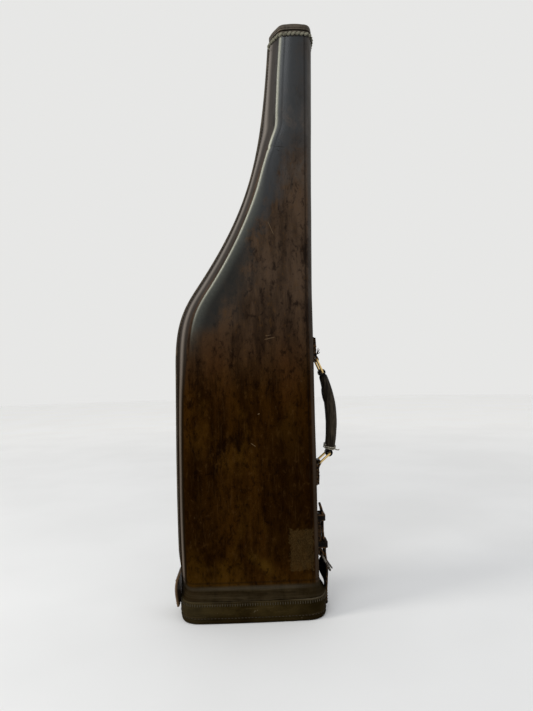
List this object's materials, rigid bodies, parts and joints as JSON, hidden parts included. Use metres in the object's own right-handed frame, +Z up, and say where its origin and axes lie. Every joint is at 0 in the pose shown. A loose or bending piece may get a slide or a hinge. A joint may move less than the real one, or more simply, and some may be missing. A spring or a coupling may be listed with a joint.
{
  "type": "leg-of-mutton carrying case",
  "caption": "Moulded leather leg-of-mutton case with a hinged end lid, buckled closing strap and arched carrying handle, baize lined and divided inside.",
  "frame": {"origin": "middle of the lid's flat underside, on which the case stands", "axes": "+X towards the spine that carries the handle, -Y the front panel, +Z up to the nose"},
  "size_m": [0.2266, 0.0864, 0.816],
  "materials": {
    "panel_leather": "dark brown moulded hide, polished and worn, with a dull sheen",
    "edge_leather": "brown cut edges of thick leather",
    "strap_leather": "almost black harness leather with brown edges",
    "thread": "waxed linen thread",
    "baize": "red wool baize",
    "board": "plain pine board",
    "brass": "old brass wire, rubbed bright",
    "steel": "plated steel, worn"
  },
  "bodies": {
    "shell": {"front_panel": "panel_leather", "back_panel": "panel_leather", "edge_welt": "edge_leather", "nose_cap": "edge_leather", "nose_whipping": "thread", "nose_pad": "baize", "body_lining": "baize", "divider_board": "board", "divider_cover": "baize", "mouth_lip": "strap_leather", "lid_hinge": "strap_leather", "buckle_chape": "strap_leather", "buckle_rivets": "brass", "strap_keeper_lower": "strap_leather", "strap_keeper_upper": "strap_leather", "handle_chape_upper": "strap_leather", "handle_chape_lower": "strap_leather"},
    "lid": {"lid_wall": "panel_leather", "lid_sole": "panel_leather", "lid_pad": "baize", "closing_strap": "strap_leather"},
    "upper_loop": {"handle_loop_upper": "brass"},
    "grip": {"handle_grip": "strap_leather", "handle_core": "steel"},
    "lower_loop": {"handle_loop_lower": "brass"},
    "buckle": {"buckle_frame": "steel"},
    "tongue": {"buckle_tongue": "steel"}
  },
  "joints": [
    {"name": "lid_turn", "type": "hinge", "parent": "shell", "child": "lid", "pos_m": [-0.1, 0, 0.02915], "axis": [0, 1, 0], "range_deg": [0, 120], "deforming": ["lid_hinge", "closing_strap"]},
    {"name": "handle_swing", "type": "hinge", "parent": "shell", "child": "upper_loop", "pos_m": [0.09505, 0, 0.345], "axis": [0, -1, 0], "range_deg": [0, 20]},
    {"name": "grip_turn", "type": "hinge", "parent": "upper_loop", "child": "grip", "pos_m": [0.10318, 0, 0.32673], "axis": [0, 1, 0], "range_deg": [0, 26]},
    {"name": "lower_loop_swing", "type": "hinge", "parent": "shell", "child": "lower_loop", "pos_m": [0.09505, 0, 0.201], "axis": [0, -1, 0], "range_deg": [0, 16]},
    {"name": "buckle_swing", "type": "hinge", "parent": "shell", "child": "buckle", "pos_m": [0.09505, 0, 0.076], "axis": [0, -1, 0], "range_deg": [0, 45]},
    {"name": "tongue_swing", "type": "hinge", "parent": "buckle", "child": "tongue", "pos_m": [0.09505, 0, 0.076], "axis": [0, -1, 0], "range_deg": [0, 42]}
  ],
  "couplings": [
    {"joint": "grip_turn", "follows": "handle_swing", "ratio": 1.24},
    {"joint": "lower_loop_swing", "follows": "handle_swing", "ratio": 0.72}
  ]
}
